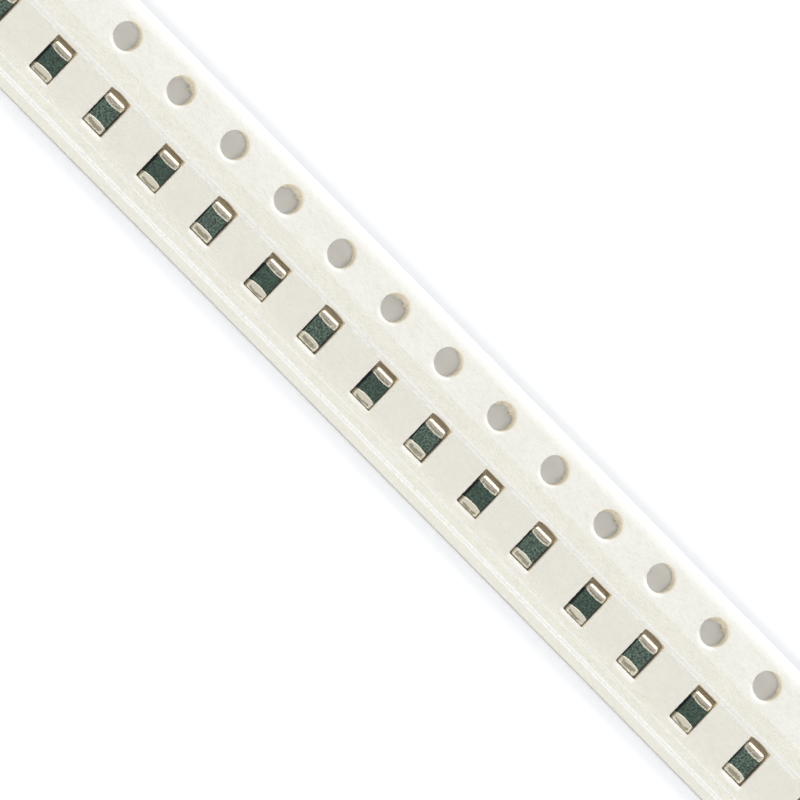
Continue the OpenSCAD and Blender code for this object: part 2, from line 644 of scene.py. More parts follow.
@dataclass(frozen=True)
class DullTin:
    """Barrel-plated tin, bright on its swollen edges, rough in its groove, and darkened where a cap
    carries painted shade and reflection.
    """

    name: str
    bright: Colour
    metallic: float
    rough: Colour = (0.160, 0.146, 0.094)
    pit_depth: float = 0.010 * MM

    def material(self) -> bpy.types.Material:
        """Makes the terminals' material.

        Returns:
            The material.
        """
        shader = Shader(self.name)
        place = shader.place()
        # This layer holds the groove's darkening and the painted shade and reflection of the caps'
        # sides and -Y rim.
        named = {"attribute_name": GROOVE_AND_SHADE_LAYER}
        groove = Value(shader, shader.node("ShaderNodeAttribute", named).outputs["Fac"])
        pits = shader.grain(place, (11.0, 11.0, 11.0), detail=3.0, twist=0.5)
        scuffs = shader.grain(place, (4.0, 4.0, 4.0), detail=3.0)
        rough_and_shade = (groove * 1.25 + (pits - 0.5) * 1.1 * groove.rise(0.0, 0.25)).rise(0.20, 0.90)
        height = pits * (0.12 + 0.88 * rough_and_shade) + 0.25 * scuffs
        return shader.coat(
            Base_Color=shader.tint(rough_and_shade * 0.9, self.bright, self.rough),
            Metallic=self.metallic - 0.4 * rough_and_shade,
            Roughness=0.27 + 0.12 * scuffs + 0.35 * rough_and_shade,
            Normal=shader.relief(height, self.pit_depth),
        )


@dataclass(frozen=True)
class PaleFloor:
    """Plain matt floor."""

    colour: Colour = (0.860, 0.880, 0.905)

    def material(self) -> bpy.types.Material:
        """Makes the floor's material."""
        shader = Shader("pale_floor")
        return shader.coat(Base_Color=(*self.colour, 1.0), Roughness=1.0, Specular_IOR_Level=0.0)


# ---- Mesh helpers ----


def add_object(name: str, data: bpy.types.ID) -> bpy.types.Object:
    """Adds an object to the scene.

    Args:
        name: The object's name.
        data: Its mesh, lamp or camera.

    Returns:
        The object.
    """
    made = bpy.data.objects.new(name, data)
    bpy.context.scene.collection.objects.link(made)
    return made


def finish_piece(
    name: str,
    bm: BMesh,
    materials: Sequence[bpy.types.Material],
    node: str,
    smooth_angle: float,
) -> bpy.types.Object:
    """Turns a bmesh into a piece that stands for a CAD node.

    Args:
        name: The piece's name.
        bm: The mesh, placed on the strip; it is freed.
        materials: The materials that its faces name by number.
        node: The CAD node that it stands for.
        smooth_angle: Edges sharper than this, in degrees, stay sharp.

    Returns:
        The piece's object, at the origin.
    """
    bmesh.ops.recalc_face_normals(bm, faces=bm.faces)
    mesh = bpy.data.meshes.new(name)
    for face in bm.faces:
        face.smooth = True
    bm.to_mesh(mesh)
    bm.free()
    mesh.set_sharp_from_angle(angle=math.radians(smooth_angle))
    for material in materials:
        mesh.materials.append(material)
    piece = add_object(name, mesh)
    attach(piece, BODY)
    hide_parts(node)
    LOG.info("%s: %d faces", name, len(mesh.polygons))
    return piece


def rectangle(bm: BMesh, centre: Vector, size_x: float, size_y: float) -> list[BMVert]:
    """Draws a level rectangle about a centre and gives its corners."""
    place = Matrix.Translation(centre) @ Matrix.Diagonal((size_x, size_y, 1.0, 1.0))
    return bmesh.ops.create_grid(bm, x_segments=1, y_segments=1, size=0.5, matrix=place)["verts"]


def open_face(bm: BMesh, face: BMFace) -> list[BMEdge]:
    """Takes a face away and gives the edges that it leaves."""
    outline = list(face.edges)
    bmesh.ops.delete(bm, geom=[face], context="FACES_ONLY")
    return outline


def cut_cube(cuts: int) -> BMesh:
    """Makes a unit cube whose sides are cut into a grid.

    Args:
        cuts: Cuts through each edge.

    Returns:
        The mesh.
    """
    bm = bmesh.new()
    bmesh.ops.create_cube(bm, size=1.0)
    bmesh.ops.subdivide_edges(bm, edges=bm.edges[:], cuts=cuts, use_grid_fill=True)
    return bm


def made_of(geometry: Iterable[object], kind: type) -> list:
    """The elements of one kind in an operator's result."""
    return [element for element in geometry if isinstance(element, kind)]


def wobble(point: Vector, per_mm: float, seed: float = 0.0) -> float:
    """Smooth noise from -1 to 1 at a point, the same on every run."""
    return noise.noise(point * (per_mm / MM) + Vector((seed, seed * 1.7, seed * 0.3)))


def clamp(value: float, low: float = 0.0, high: float = 1.0) -> float:
    """The value kept in the range from low to high."""
    return max(low, min(high, value))


def ease(share: float) -> float:
    """A share from 0 to 1 that starts and ends gently."""
    return share * share * (3.0 - 2.0 * share)


def spread_out(unit: Vector) -> Vector:
    """Moves the rows of a cut unit cube closer together towards its faces."""
    return Vector([CROWDING * math.sin(math.pi * t) + (1.0 - 2.0 * CROWDING) * t for t in unit])


def rounded(at: Vector, size: Vector, reach: Vector) -> Vector:
    """Draws a point of a box in to the box's round edges.

    Args:
        at: The point, from the box's middle.
        size: The box's size.
        reach: How far the rounding reaches in along each axis.

    Returns:
        The new place.
    """
    room = size / 2 - reach
    core = Vector([clamp(c, -r, r) for r, c in zip(room, at)])
    out = Vector([(a - c) / r for a, c, r in zip(at, core, reach)])
    return core + out.normalized() * reach if out.length > 1.0 else at


# ---- Card tape ----


class CardSurface(Enum):
    """Material numbers of the card's faces."""

    FACE = 0
    EDGE = 1
    HOLE_WALL = 2
    POCKET_WALL = 3


@dataclass(frozen=True)
class RimStep:
    """One ring of a punched rim.

    outset is its distance outside the wall, z its height, fray how far it strays sideways,
    burr how much the far side of a sprocket hole is lifted, lip how far the near side of
    a pocket hangs inwards and shelf how far torn layers stand out on a hole's near side.
    """

    outset: float
    z: float
    fray: float
    surface: CardSurface
    burr: float = 0.0
    lip: float = 0.0
    shelf: float = 0.0


@dataclass(frozen=True)
class Punch:
    """A punched opening: a rounded rectangle about a core, or a circle about a point.

    Torn layers stand round layers_angle, up to layers_span to each side, and one tuft at
    tuft_angle; the angles are in degrees from +X.
    """

    centre: Vector
    core: Vector
    radius: float
    wall: CardSurface
    seed: float
    bow: float = 0.0
    torn: bool = False
    layers_angle: float = 102.0
    layers_span: float = 72.0
    tuft_angle: float = 50.0
    tuft_span: float = 3.4

    def torn_reach(self, outward: Vector, sample: Vector) -> float:
        """How far torn layers reach into the opening, from 0 to about 1.

        Args:
            outward: The direction out of the opening at this point of its rim.
            sample: The point, which sets its own unevenness.

        Returns:
            The share of the shelf that stands here.
        """
        if not self.torn:
            return 0.0
        angle = math.degrees(math.atan2(outward.y, outward.x))
        layers = max(0.0, 1.0 - ((angle - self.layers_angle) / self.layers_span) ** 4)
        tuft = math.exp(-(((angle - self.tuft_angle) / self.tuft_span) ** 2))
        return layers * (0.8 + 0.5 * wobble(sample, 3.5, self.seed)) + 1.5 * tuft

    def ring_point(self, at: Vector, step: RimStep) -> Vector:
        """Moves a point of the opening's outline to a ring of its rim.

        Args:
            at: The point's place now, on any ring.
            step: The ring.

        Returns:
            The new place.
        """
        flat = Vector((at.x - self.centre.x, at.y - self.centre.y, 0.0))
        core = Vector([clamp(c, -limit, limit) for c, limit in zip(flat, self.core)])
        outward = (flat - core).normalized()
        base = core + outward * self.radius
        if self.bow and outward.y > 0.5:
            base.y += self.bow * (1.0 - (core.x / self.core.x) ** 2)
        sample = self.centre + base + Vector((0.0, 0.0, step.z))
        stray = step.fray * wobble(sample, 7.0, self.seed)
        tuft = 0.55 + 0.9 * abs(wobble(sample, 5.0, self.seed + 3.1))
        inwards = step.lip * max(0.0, outward.y) * tuft
        if step.shelf:
            inwards += step.shelf * self.torn_reach(outward, sample)
        place = self.centre + base + outward * (step.outset + stray - inwards)
        far = max(0.0, -outward.y)
        place.z = step.z + step.burr * far * (0.75 + 0.5 * wobble(sample, 3.0, self.seed + 7.7))
        return place


@dataclass
class CardTape:
    """The punched card with its sprocket holes, its pockets and its two cut ends.

    hole_rag and pocket_rag are how ragged the lower rims are, and torn_shelf how far torn
    layers stand into a hole.
    """

    layout: Layout
    hole_segments: int = 96
    pocket_long_cuts: int = 34
    pocket_short_cuts: int = 24
    overrun: float = 1.2 * MM
    pressed_reach: float = 0.50 * MM
    pressed_drop: float = 0.20 * MM
    edge_radius: float = 0.06 * MM
    edge_steps: int = 6
    hole_rag: float = 0.030 * MM
    pocket_rag: float = 0.014 * MM
    torn_shelf: float = 0.22 * MM
    cut_tolerance: float = 1e-9
    weld: float = 1e-8
    smooth_angle: float = 50.0

    def rim_steps(self, wall: CardSurface) -> tuple[list[RimStep], list[RimStep]]:
        """The rings of an opening's rim.

        Args:
            wall: The surface of the opening's wall.

        Returns:
            The rings from mid-wall up to the upper face, and from mid-wall down to the lower.
        """
        top, bottom = self.layout.card_high.z, self.layout.card_low.z
        face = CardSurface.FACE
        is_hole = wall is CardSurface.HOLE_WALL
        if is_hole:
            up = [
                RimStep(0.0, top - 0.25 * MM, 0.006 * MM, wall),
                RimStep(0.0, top - 0.07 * MM, 0.010 * MM, wall),
                RimStep(0.004 * MM, top - 0.030 * MM, 0.014 * MM, wall),
                RimStep(0.016 * MM, top - 0.008 * MM, 0.012 * MM, face, burr=0.010 * MM),
                RimStep(0.050 * MM, top, 0.008 * MM, face, burr=0.024 * MM),
                RimStep(0.110 * MM, top, 0.006 * MM, face, burr=0.026 * MM),
                RimStep(0.190 * MM, top, 0.0, face, burr=0.012 * MM),
                RimStep(0.300 * MM, top, 0.0, face),
            ]
        else:
            up = [
                RimStep(0.0, top - 0.30 * MM, 0.006 * MM, wall),
                RimStep(0.0, top - 0.10 * MM, 0.010 * MM, wall),
                RimStep(0.0, top - 0.045 * MM, 0.012 * MM, wall, lip=0.004 * MM),
                RimStep(0.0, top - 0.018 * MM, 0.016 * MM, face, lip=0.034 * MM),
                RimStep(0.012 * MM, top - 0.005 * MM, 0.010 * MM, face, lip=0.020 * MM),
                RimStep(0.050 * MM, top - 0.001 * MM, 0.0, face),
                RimStep(0.160 * MM, top, 0.0, face),
            ]
        rag = self.hole_rag if is_hole else self.pocket_rag
        shelf = self.torn_shelf if is_hole else 0.0
        down = [
            RimStep(0.0, bottom + 0.42 * MM, 0.3 * rag, wall),
            RimStep(0.0, bottom + 0.26 * MM, 0.5 * rag, wall, shelf=0.75 * shelf),
            RimStep(-0.006 * MM, bottom + 0.16 * MM, rag, wall, shelf=shelf),
            RimStep(0.0, bottom + 0.08 * MM, rag, wall, shelf=0.8 * shelf),
            RimStep(0.004 * MM, bottom + 0.025 * MM, rag, wall, shelf=0.1 * shelf),
            RimStep(0.045 * MM, bottom, 0.3 * rag, face),
            RimStep(0.150 * MM, bottom, 0.0, face),
        ]
        return up, down

    def hole_outline(self, bm: BMesh, punch: Punch, z: float) -> list[BMEdge]:
        """Draws a sprocket hole's outline.

        Args:
            bm: The card's mesh.
            punch: The sprocket hole.
            z: Height of the outline.

        Returns:
            The outline's edges.
        """
        place = Matrix.Translation(punch.centre + Vector((0.0, 0.0, z)))
        made = bmesh.ops.create_circle(
            bm, cap_ends=False, radius=punch.radius, segments=self.hole_segments, matrix=place
        )
        return list({edge for vert in made["verts"] for edge in vert.link_edges})

    def pocket_outline(self, bm: BMesh, punch: Punch, z: float) -> list[BMEdge]:
        """Draws a pocket's outline, fine enough to fray.

        Args:
            bm: The card's mesh.
            punch: The pocket.
            z: Height of the outline.

        Returns:
            The outline's edges.
        """
        centre = punch.centre + Vector((0.0, 0.0, z))
        size_x, size_y = (2 * (half + punch.radius) for half in punch.core.xy)
        bevelled = bmesh.ops.bevel(
            bm,
            geom=rectangle(bm, centre, size_x, size_y),
            offset=punch.radius,
            affect="VERTICES",
            segments=4,
            profile=0.5,
            material=-1,
        )
        outline = open_face(bm, bevelled["verts"][0].link_faces[0])
        for cuts, axis in ((self.pocket_short_cuts, 0), (self.pocket_long_cuts, 1)):
            sides = [
                edge
                for edge in outline
                if abs(edge.verts[0].co[axis] - edge.verts[1].co[axis]) > 4 * punch.radius
            ]
            made = bmesh.ops.subdivide_edges(bm, edges=sides, cuts=cuts)["geom"]
            outline = list(set(outline).union(made_of(made, BMEdge)))
        return outline

    def sweep(
        self,
        bm: BMesh,
        outline: list[BMEdge],
        place: Callable[[Vector, int], Vector],
        surfaces: Sequence[CardSurface],
    ) -> list[BMEdge]:
        """Extrudes an outline through a row of rings.

        Args:
            bm: The card's mesh.
            outline: The edges to start from.
            place: Gives a vertex's place on a ring from its place now and the ring's number.
            surfaces: The surface of each ring's faces.

        Returns:
            The last ring's edges.
        """
        edges = outline
        for number, surface in enumerate(surfaces):
            made = bmesh.ops.extrude_edge_only(bm, edges=edges)["geom"]
            verts = made_of(made, BMVert)
            for vert in verts:
                vert.co = place(vert.co, number)
            for face in made_of(made, BMFace):
                face.material_index = surface.value
            fresh = set(verts)
            edges = [e for e in made_of(made, BMEdge) if fresh.issuperset(e.verts)]
        return edges

    def punches(self) -> list[Punch]:
        """Lists all openings, with the sprocket holes that the two end cuts halve.

        Returns:
            The sprocket holes, then the pockets.
        """
        spot, corner = self.layout, self.layout.pocket_corner
        holes = [
            Punch(
                centre=Vector((spot.line_x(number) + spot.pitch / 2, spot.hole_y, 0.0)),
                core=Vector((0.0, 0.0, 0.0)),
                radius=spot.hole_r,
                wall=CardSurface.HOLE_WALL,
                seed=number * 2.3,
                torn=spot.bowed(number),
            )
            for number in range(spot.pockets + 1)
        ]
        pockets = [
            Punch(
                centre=spot.pocket_at(number),
                core=Vector((spot.pocket_w / 2 - corner, spot.pocket_l / 2 - corner, 0.0)),
                radius=corner,
                wall=CardSurface.POCKET_WALL,
                seed=50.0 + number * 1.9,
                bow=spot.pocket_bow if spot.bowed(number) else 0.0,
            )
            for number in range(1, spot.pockets + 1)
        ]
        return holes + pockets

    def contour_rings(self, upper: bool) -> list[tuple[float, float, float]]:
        """Rings round the card's outside, from mid-edge to a face.

        Args:
            upper: True for the rings up to the upper face.

        Returns:
            For each ring, how far it lies in from the -Y edge and the +Y edge, and its height.
        """
        spot, rings = self.layout, []
        face_z = spot.card_high.z if upper else spot.card_low.z
        sign = 1.0 if upper else -1.0
        plain = self.edge_radius
        reach = self.pressed_reach if upper else plain
        drop = self.pressed_drop if upper else plain
        for step in range(self.edge_steps + 1):
            angle = math.pi / 2 * step / self.edge_steps
            inward, fall = 1.0 - math.cos(angle), 1.0 - math.sin(angle)
            rings.append((plain * inward, reach * inward, face_z - sign * fall * drop))
        return rings

    def contour(self, bm: BMesh, z: float) -> tuple[list[BMEdge], list[BMEdge]]:
        """Builds the card's outside.

        Args:
            bm: The card's mesh.
            z: Height of the ring to start from.

        Returns:
            The last edges on the upper face and on the lower one.
        """
        spot = self.layout
        size_x = 2 * (spot.card_high.x + self.overrun)
        size_y = spot.card_high.y - spot.card_low.y
        corners = rectangle(bm, Vector((0.0, 0.0, z)), size_x, size_y)
        outline = open_face(bm, corners[0].link_faces[0])
        ends = []
        for upper in (True, False):
            rings = self.contour_rings(upper)

            def ring_place(at: Vector, number: int) -> Vector:
                """Moves a corner to a ring.

                Args:
                    at: The corner's place now.
                    number: The ring's number.

                Returns:
                    The new place.
                """
                far_in, near_in, height = rings[number]
                y = spot.card_high.y - near_in if at.y > 0 else spot.card_low.y + far_in
                return Vector((at.x, y, height))

            surfaces = [CardSurface.EDGE] + [CardSurface.FACE] * (len(rings) - 1)
            ends.append(self.sweep(bm, outline, ring_place, surfaces))
        return ends[0], ends[1]

    def cut_ends(self, bm: BMesh) -> None:
        """Cuts the card square at both ends and closes the cuts.

        Args:
            bm: The card's mesh.
        """
        for side in (-1.0, 1.0):
            at = self.layout.card_high.x * side
            cut = bmesh.ops.bisect_plane(
                bm,
                geom=bm.verts[:] + bm.edges[:] + bm.faces[:],
                plane_co=(at, 0.0, 0.0),
                plane_no=(side, 0.0, 0.0),
                clear_outer=True,
                dist=self.cut_tolerance,
            )
            edges = made_of(cut["geom_cut"], BMEdge)
            for face in bmesh.ops.triangle_fill(bm, use_beauty=True, edges=edges)["geom"]:
                if isinstance(face, BMFace):
                    face.material_index = CardSurface.EDGE.value

    def build(self) -> bpy.types.Object:
        """Builds the card.

        Returns:
            The card's object.
        """
        bm = bmesh.new()
        spot = self.layout
        middle = (spot.card_low.z + spot.card_high.z) / 2
        upper, lower = self.contour(bm, middle)
        for punch in self.punches():
            if punch.wall is CardSurface.HOLE_WALL:
                outline = self.hole_outline(bm, punch, middle)
            else:
                outline = self.pocket_outline(bm, punch, middle)
            waist = RimStep(0.0, middle, 0.0, punch.wall)
            for vert in {vert for edge in outline for vert in edge.verts}:
                vert.co = punch.ring_point(vert.co, waist)
            for steps, ends in zip(self.rim_steps(punch.wall), (upper, lower)):

                def ring_place(at: Vector, number: int) -> Vector:
                    """A vertex's place on one of the rim's rings."""
                    return punch.ring_point(at, steps[number])

                ends += self.sweep(bm, outline, ring_place, [step.surface for step in steps])
        for edges in (upper, lower):
            bmesh.ops.triangle_fill(bm, use_beauty=True, edges=edges)
        self.cut_ends(bm)
        bmesh.ops.remove_doubles(bm, verts=bm.verts, dist=self.weld)
        materials = [
            CardFace(spot).material(),
            # The cut edges are much darker than the card's face: painted shade on the strip's sides
            # and ends.
            CutCard("card_edge", fresh=(0.47, 0.45, 0.42), torn=(0.39, 0.37, 0.34)).material(),
            CutCard("hole_wall", fresh=(0.74, 0.69, 0.58), torn=(0.65, 0.59, 0.48)).material(),
            # The pocket walls are much lighter than the card's face: painted light in the pockets.
            CutCard("pocket_wall", fresh=(0.93, 0.83, 0.64), torn=(0.82, 0.71, 0.53)).material(),
        ]
        return finish_piece("card_tape", bm, materials, "carrier_tape", self.smooth_angle)


# ---- Cover tapes ----


@dataclass
class TopCover:
    """The clear cover tape, pressed into creases along its seals.

    lift is its clearance over the card, calm_step and tight_step the widest and the narrowest
    space between its mesh's rows, drift how far its creases wander and ripple how uneven it is.
    """

    layout: Layout
    columns: int = 520
    thickness: float = 0.05 * MM
    lift: float = 0.003 * MM
    calm_step: float = 0.28 * MM
    tight_step: float = 0.008 * MM
    crease_samples: int = 4
    drift: float = 0.03 * MM
    ripple: float = 0.0006 * MM
    smooth_angle: float = 60.0

    def seal_lines(self) -> tuple[SealLine, ...]:
        """Lists the creases.

        Returns:
            The creases, from the sprocket-hole side to the far side.
        """
        spot = self.layout
        near, edge = spot.pocket_near, spot.cover_low.y
        return (
            SealLine(spot.cover_high.y - 0.04 * MM, 0.06 * MM, 0.003 * MM, 0.15, 0.6, 1.0),
            SealLine(near + 0.265 * MM, 0.22 * MM, 0.020 * MM, 0.60, 0.1, 2.0),
            SealLine(near + 0.060 * MM, 0.15 * MM, 0.004 * MM, 0.60, 0.5, 3.0, apart=0.9),
            SealLine(edge + 0.780 * MM, 0.15 * MM, 0.020 * MM, 0.60, 0.1, 4.0),
            SealLine(edge + 0.230 * MM, 0.19 * MM, 0.020 * MM, 0.80, 0.1, 5.0),
            SealLine(edge + 0.065 * MM, 0.17 * MM, 0.003 * MM, 0.85, 0.0, 6.0),
        )

    def rows(self) -> list[float]:
        """Spaces the mesh's rows across the tape, close together at the creases.

        Returns:
            The rows' places, from the far side to the sprocket-hole side.
        """
        spot = self.layout
        stops = {round(spot.cover_low.y, 8), round(spot.cover_high.y, 8)}
        for line in self.seal_lines():
            for k in range(-self.crease_samples, self.crease_samples + 1):
                stops.add(round(line.y + line.width * 0.8 * k / self.crease_samples, 8))
        ordered = sorted(s for s in stops if spot.cover_low.y <= s <= spot.cover_high.y)
        filled = [ordered[0]]
        for stop in ordered[1:]:
            gap = stop - filled[-1]
            if gap < self.tight_step:
                continue
            pieces = max(1, math.ceil(gap / self.calm_step))
            start = filled[-1]
            filled += [start + gap * k / pieces for k in range(1, pieces + 1)]
        filled[-1] = spot.cover_high.y
        return filled

    def height(self, x: float, y: float) -> float:
        """Height of the tape's upper face above its flat parts.

        Args:
            x: Place along the strip.
            y: Place across the strip.

        Returns:
            The height.
        """
        most = 0.0
        for line in self.seal_lines():
            along = Vector((x, line.seed * MM, 0.0))
            away = abs(y - line.y - self.drift * wobble(along, 0.7)) / (line.width * 0.6)
            if away < 1.0:
                swell = 0.5 + 0.5 * math.cos(math.pi * away)
                pulse = clamp(0.75 + 0.45 * wobble(along, 2.2), low=0.1)
                most = max(most, line.height * swell * pulse)
        return most + self.ripple * (1.0 + wobble(Vector((x, y, 0.0)), 1.2))

    def build(self) -> bpy.types.Object:
        """Builds the cover tape.

        Returns:
            The tape's object.
        """
        low, high = self.layout.cover_low, self.layout.cover_high
        rows = self.rows()
        bm = bmesh.new()
        bmesh.ops.create_grid(bm, x_segments=self.columns, y_segments=len(rows) - 1, size=0.5)
        tape_top = low.z + self.thickness
        for vert in bm.verts:
            row = round((vert.co.y + 0.5) * (len(rows) - 1))
            x = low.x + (vert.co.x + 0.5) * (high.x - low.x)
            y = rows[row]
            vert.co = Vector((x, y, min(high.z, tape_top + self.height(x, y))))
        made = bmesh.ops.extrude_face_region(bm, geom=bm.faces[:])["geom"]
        for vert in made_of(made, BMVert):
            vert.co.z = low.z + self.lift
        for face in bm.faces:
            stuck = all(v.co.z < low.z + 2 * self.lift for v in face.verts)
            face.material_index = int(not stuck)
        film = ClearFilm(self.layout, self.seal_lines())
        materials = [film.material(), film.upper_material()]
        angle = self.smooth_angle
        return finish_piece("clear_cover", bm, materials, "top_cover_tape", angle)


# ---- Chips ----


class ChipEnd(Enum):
    """The two ends of a chip: the one near the sprocket holes and the far one."""

    NEAR = 1
    FAR = -1


@dataclass(frozen=True)
class Groove:
    """The rough groove across a terminal's face.

    middle is how far its deepest line lies from the terminal's middle towards the chip's end, bend
    how much farther that way the line's two ends lie, and slopes are the reach of its side towards
    the chip's middle and of its side towards the chip's end. dark_reach is how far the darkening
    along it spreads to each side, wander how far it strays from its line, and fade the share of its
    half width over which it runs out.
    """

    middle: float
    bend: float
    slopes: tuple[float, float]
    dark_reach: float
    half_width: float = 0.86
    depth: float = 0.008 * MM
    wander: float = 0.03 * MM
    fade: float = 0.25

    def share(self, at: Vector, width: float, seed: float) -> tuple[float, float]:
        """How deep and how dark the groove is at a point.

        Args:
            at: The point from the terminal's middle, +Y towards the chip's end.
            width: The terminal's width.
            seed: Sets the groove's own unevenness.

        Returns:
            The depth and the darkness, each from 0 to 1.
        """
        across = at.x / (width / 2)
        line = self.middle + self.bend * across * across
        away = at.y - line - self.wander * wobble(Vector((at.x, 0.0, 0.0)), 2.2, seed)
        slope = self.slopes[0] if away < 0.0 else self.slopes[1]
        down = ease(clamp(1.0 - abs(away) / slope))
        side = abs(across) / self.half_width
        side += 0.12 * wobble(at, 3.0, seed + 5.0)
        window = ease(clamp((1.0 - side) / self.fade))
        dark = math.exp(-((away / self.dark_reach) ** 2))
        broken = clamp(0.92 + 0.7 * wobble(at, 6.0, seed + 9.0))
        return down * window, dark * window * broken


@dataclass
class CeramicBody:
    """A chip's fired body, whose round ends stand inside the terminals."""

    node: str
    reach: Vector = field(default_factory=lambda: Vector((0.09, 0.20, 0.09)) * MM)
    cuts: int = 11
    smooth_angle: float = 55.0

    def build(self, materials: Sequence[bpy.types.Material]) -> bpy.types.Object:
        """Builds the body.

        Args:
            materials: The ceramic, and a much darker copy of it without shine for its +X and -X
                sides, as painted shade.

        Returns:
            The body's object.
        """
        low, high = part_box(self.node)
        size, middle = high - low, (low + high) / 2
        bm = cut_cube(self.cuts)
        for face in bm.faces:
            # The +X and -X sides get the second material: painted shade.
            face.material_index = int(all(abs(v.co.x) > ON_FACE for v in face.verts))
        for vert in bm.verts:
            vert.co = middle + rounded(spread_out(vert.co) * size, size, self.reach)
        name = self.node.replace("chip", "fired")
        return finish_piece(name, bm, materials, self.node, self.smooth_angle)


@dataclass
class Terminal:
    """A plated cap over one end of a chip.

    Its two sides are painted darker, standing in for the brown pocket walls that they reflect, and
    so is its rim on the -Y side, as painted shade where it faces away from the hole-side lamp; the
    side and rim numbers say how much.
    Each sets in at a share of the cap's size, its onset, and is full one blend farther out.
    """

    node: str
    end: ChipEnd
    groove: Groove
    seed: float
    side_r: float = 0.13 * MM
    near_side_r: float = 0.18 * MM
    top_r: float = 0.14 * MM
    inner_r: float = 0.05 * MM
    near_end_r: float = 0.25 * MM
    far_end_r: float = 0.12 * MM
    plate: float = 0.02 * MM
    end_plate: float = 0.06 * MM
    bulge: float = 0.08 * MM
    wave: float = 0.020 * MM
    cap_side_shade: float = 0.58
    side_onset: float = 0.76
    side_blend: float = 0.16
    cap_rim_shade: float = 0.54
    rim_onset: float = 0.38
    rim_blend: float = 0.08
    cuts: int = 19
    smooth_angle: float = 55.0

    @property
    def end_r(self) -> float:
        """How far the rounding of the chip's end reaches in; the near end is a soft pillow."""
        return self.near_end_r if self.end is ChipEnd.NEAR else self.far_end_r

    def shaped(self, unit: Vector, size: Vector) -> tuple[Vector, float]:
        """Shapes one point of a unit cube into the cap.

        Args:
            unit: The point on the cube, from -0.5 to 0.5; +Y is the chip's end.
            size: The cap's size.

        Returns:
            The point, from the cap's middle, and how dark it is painted there from 0 to 1: the
            groove, and painted shade and reflection on the sides and the -Y rim.
        """
        spread = spread_out(unit)
        at = spread * size
        outer = max(0.0, 2.0 * spread.y) if self.end is ChipEnd.NEAR else 0.0
        side_r = self.side_r + (self.near_side_r - self.side_r) * outer
        reach = Vector((side_r, self.end_r if at.y > 0 else self.inner_r, self.top_r))
        at = rounded(at, size, reach)
        across = at.x / (size.x / 2)
        from_end = 0.5 - spread.y
        inward = self.bulge * (1.0 - across * across)
        inward += self.wave * wobble(Vector((at.x, 0.0, at.z * 0.6)), 3.2, self.seed)
        at.y -= (inward - self.bulge) * min(1.0, from_end * 1.3) ** 2
        # Painted shade and reflection: the sides and the -Y rim are darkened.
        painted_shade = self.cap_side_shade * clamp((abs(across) - self.side_onset) / self.side_blend)
        rim = -spread.y if self.end is ChipEnd.NEAR else spread.y
        painted_shade = max(painted_shade, self.cap_rim_shade * clamp((rim - self.rim_onset) / self.rim_blend))
        if abs(unit.z) < ON_FACE:
            return at, painted_shade
        down, dark = self.groove.share(at, size.x, self.seed)
        at.z -= math.copysign(self.groove.depth * down, at.z)
        return at, max(dark, painted_shade)

    def hollow_out(self, bm: BMesh, size: Vector) -> None:
        """Opens the cap's inner side for the ceramic.

        Args:
            bm: The cap's mesh, before it is turned and placed.
            size: The cap's size.
        """
        inner = [f for f in bm.faces if f.tag]
        mouth = bmesh.ops.dissolve_faces(bm, faces=inner)["region"]
        bmesh.ops.inset_region(bm, faces=mouth, thickness=self.plate, use_even_offset=True)
        depth = size.y - self.end_plate - self.bulge
        made = bmesh.ops.extrude_face_region(bm, geom=mouth)["geom"]
        bmesh.ops.delete(bm, geom=[f for f in mouth if f.is_valid], context="FACES_ONLY")
        floor_y = -size.y / 2 + self.bulge + depth
        for vert in made_of(made, BMVert):
            vert.co.y = floor_y

    def build(self, material: bpy.types.Material) -> bpy.types.Object:
        """Builds the cap.

        Args:
            material: The plated metal.

        Returns:
            The cap's object.
        """
        low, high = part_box(self.node)
        size, middle = high - low, (low + high) / 2
        bm = cut_cube(self.cuts)
        for face in bm.faces:
            face.tag = all(v.co.y < -ON_FACE for v in face.verts)
        layer = bm.verts.layers.float.new(GROOVE_AND_SHADE_LAYER)
        for vert in bm.verts:
            vert.co, vert[layer] = self.shaped(vert.co.copy(), size)
        self.hollow_out(bm, size)
        for vert in bm.verts:
            vert.co = middle + Vector((vert.co.x, vert.co.y * self.end.value, vert.co.z))
            for axis in range(3):
                vert.co[axis] = clamp(vert.co[axis], low[axis], high[axis])
        name = self.node.replace("chip", "plated")
        angle = self.smooth_angle
        return finish_piece(name, bm, [material], self.node, angle)


